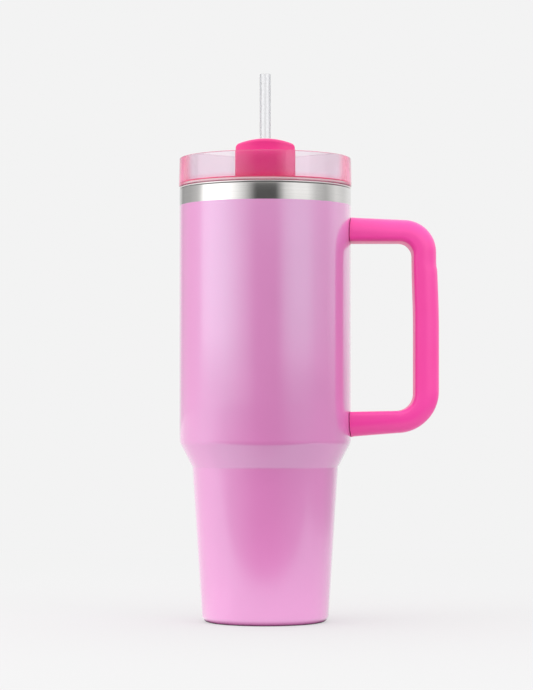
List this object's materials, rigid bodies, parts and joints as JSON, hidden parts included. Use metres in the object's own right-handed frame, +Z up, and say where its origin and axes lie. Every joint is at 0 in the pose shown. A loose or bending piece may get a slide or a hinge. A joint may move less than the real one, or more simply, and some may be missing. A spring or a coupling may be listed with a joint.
{
  "type": "insulated tumbler with lid",
  "caption": "Tall vacuum-insulated steel tumbler with a tapered foot, a side handle, a clear push-in lid with a turning cover, and a clear straw.",
  "frame": {"origin": "on the cup's axis, at the flat bottom the tumbler stands on", "axes": "+Z up along the cup's axis, +X towards the handle, -Y towards the finger tab of the lid cover"},
  "size_m": [0.1484, 0.0986, 0.3128],
  "materials": {
    "pearl_paint": "glossy pink paint with a lilac pearl flake",
    "bare_steel": "fine turned satin",
    "copper": "thin bright copper sheet",
    "getter_metal": "dull pressed powder metal",
    "seal_glass": "dark fused glass bead",
    "handle_plastic": "satin hot pink moulding",
    "cover_plastic": "satin hot pink moulding",
    "clear_pink_plastic": "clear moulded plastic with a light pink tint",
    "clear_plastic": "clear drawn plastic tube",
    "silicone": "translucent soft silicone"
  },
  "bodies": {
    "cup": {"outer_shell": "pearl_paint", "inner_liner": "bare_steel", "copper_foil": "copper", "outer_base": "bare_steel", "vacuum_seal_plug": "seal_glass", "getter": "getter_metal", "base_cover": "pearl_paint", "handle_shell": "handle_plastic", "handle_inner_cover": "handle_plastic", "handle_bracket_upper": "bare_steel", "handle_bracket_lower": "bare_steel", "handle_screw_upper": "bare_steel", "handle_screw_lower": "bare_steel"},
    "lid": {"lid_base": "clear_pink_plastic", "lid_gasket": "silicone", "pivot_o_ring": "silicone", "cover_clip": "bare_steel", "straw_grommet": "silicone"},
    "cover": {"rotating_cover": "cover_plastic", "cover_seal": "silicone"},
    "straw": {"straw": "clear_plastic"}
  },
  "joints": [
    {"name": "lid_lift", "type": "slide", "parent": "cup", "child": "lid", "axis": [0, 0, 1], "range_m": [0, 0.24]},
    {"name": "cover_turn", "type": "hinge", "parent": "lid", "child": "cover", "pos_m": [0, 0, 0.244], "axis": [0, 0, 1], "range_deg": [0, 180]},
    {"name": "straw_lift", "type": "slide", "parent": "lid", "child": "straw", "axis": [0, 0, 1], "range_m": [0, 0.24]}
  ]
}
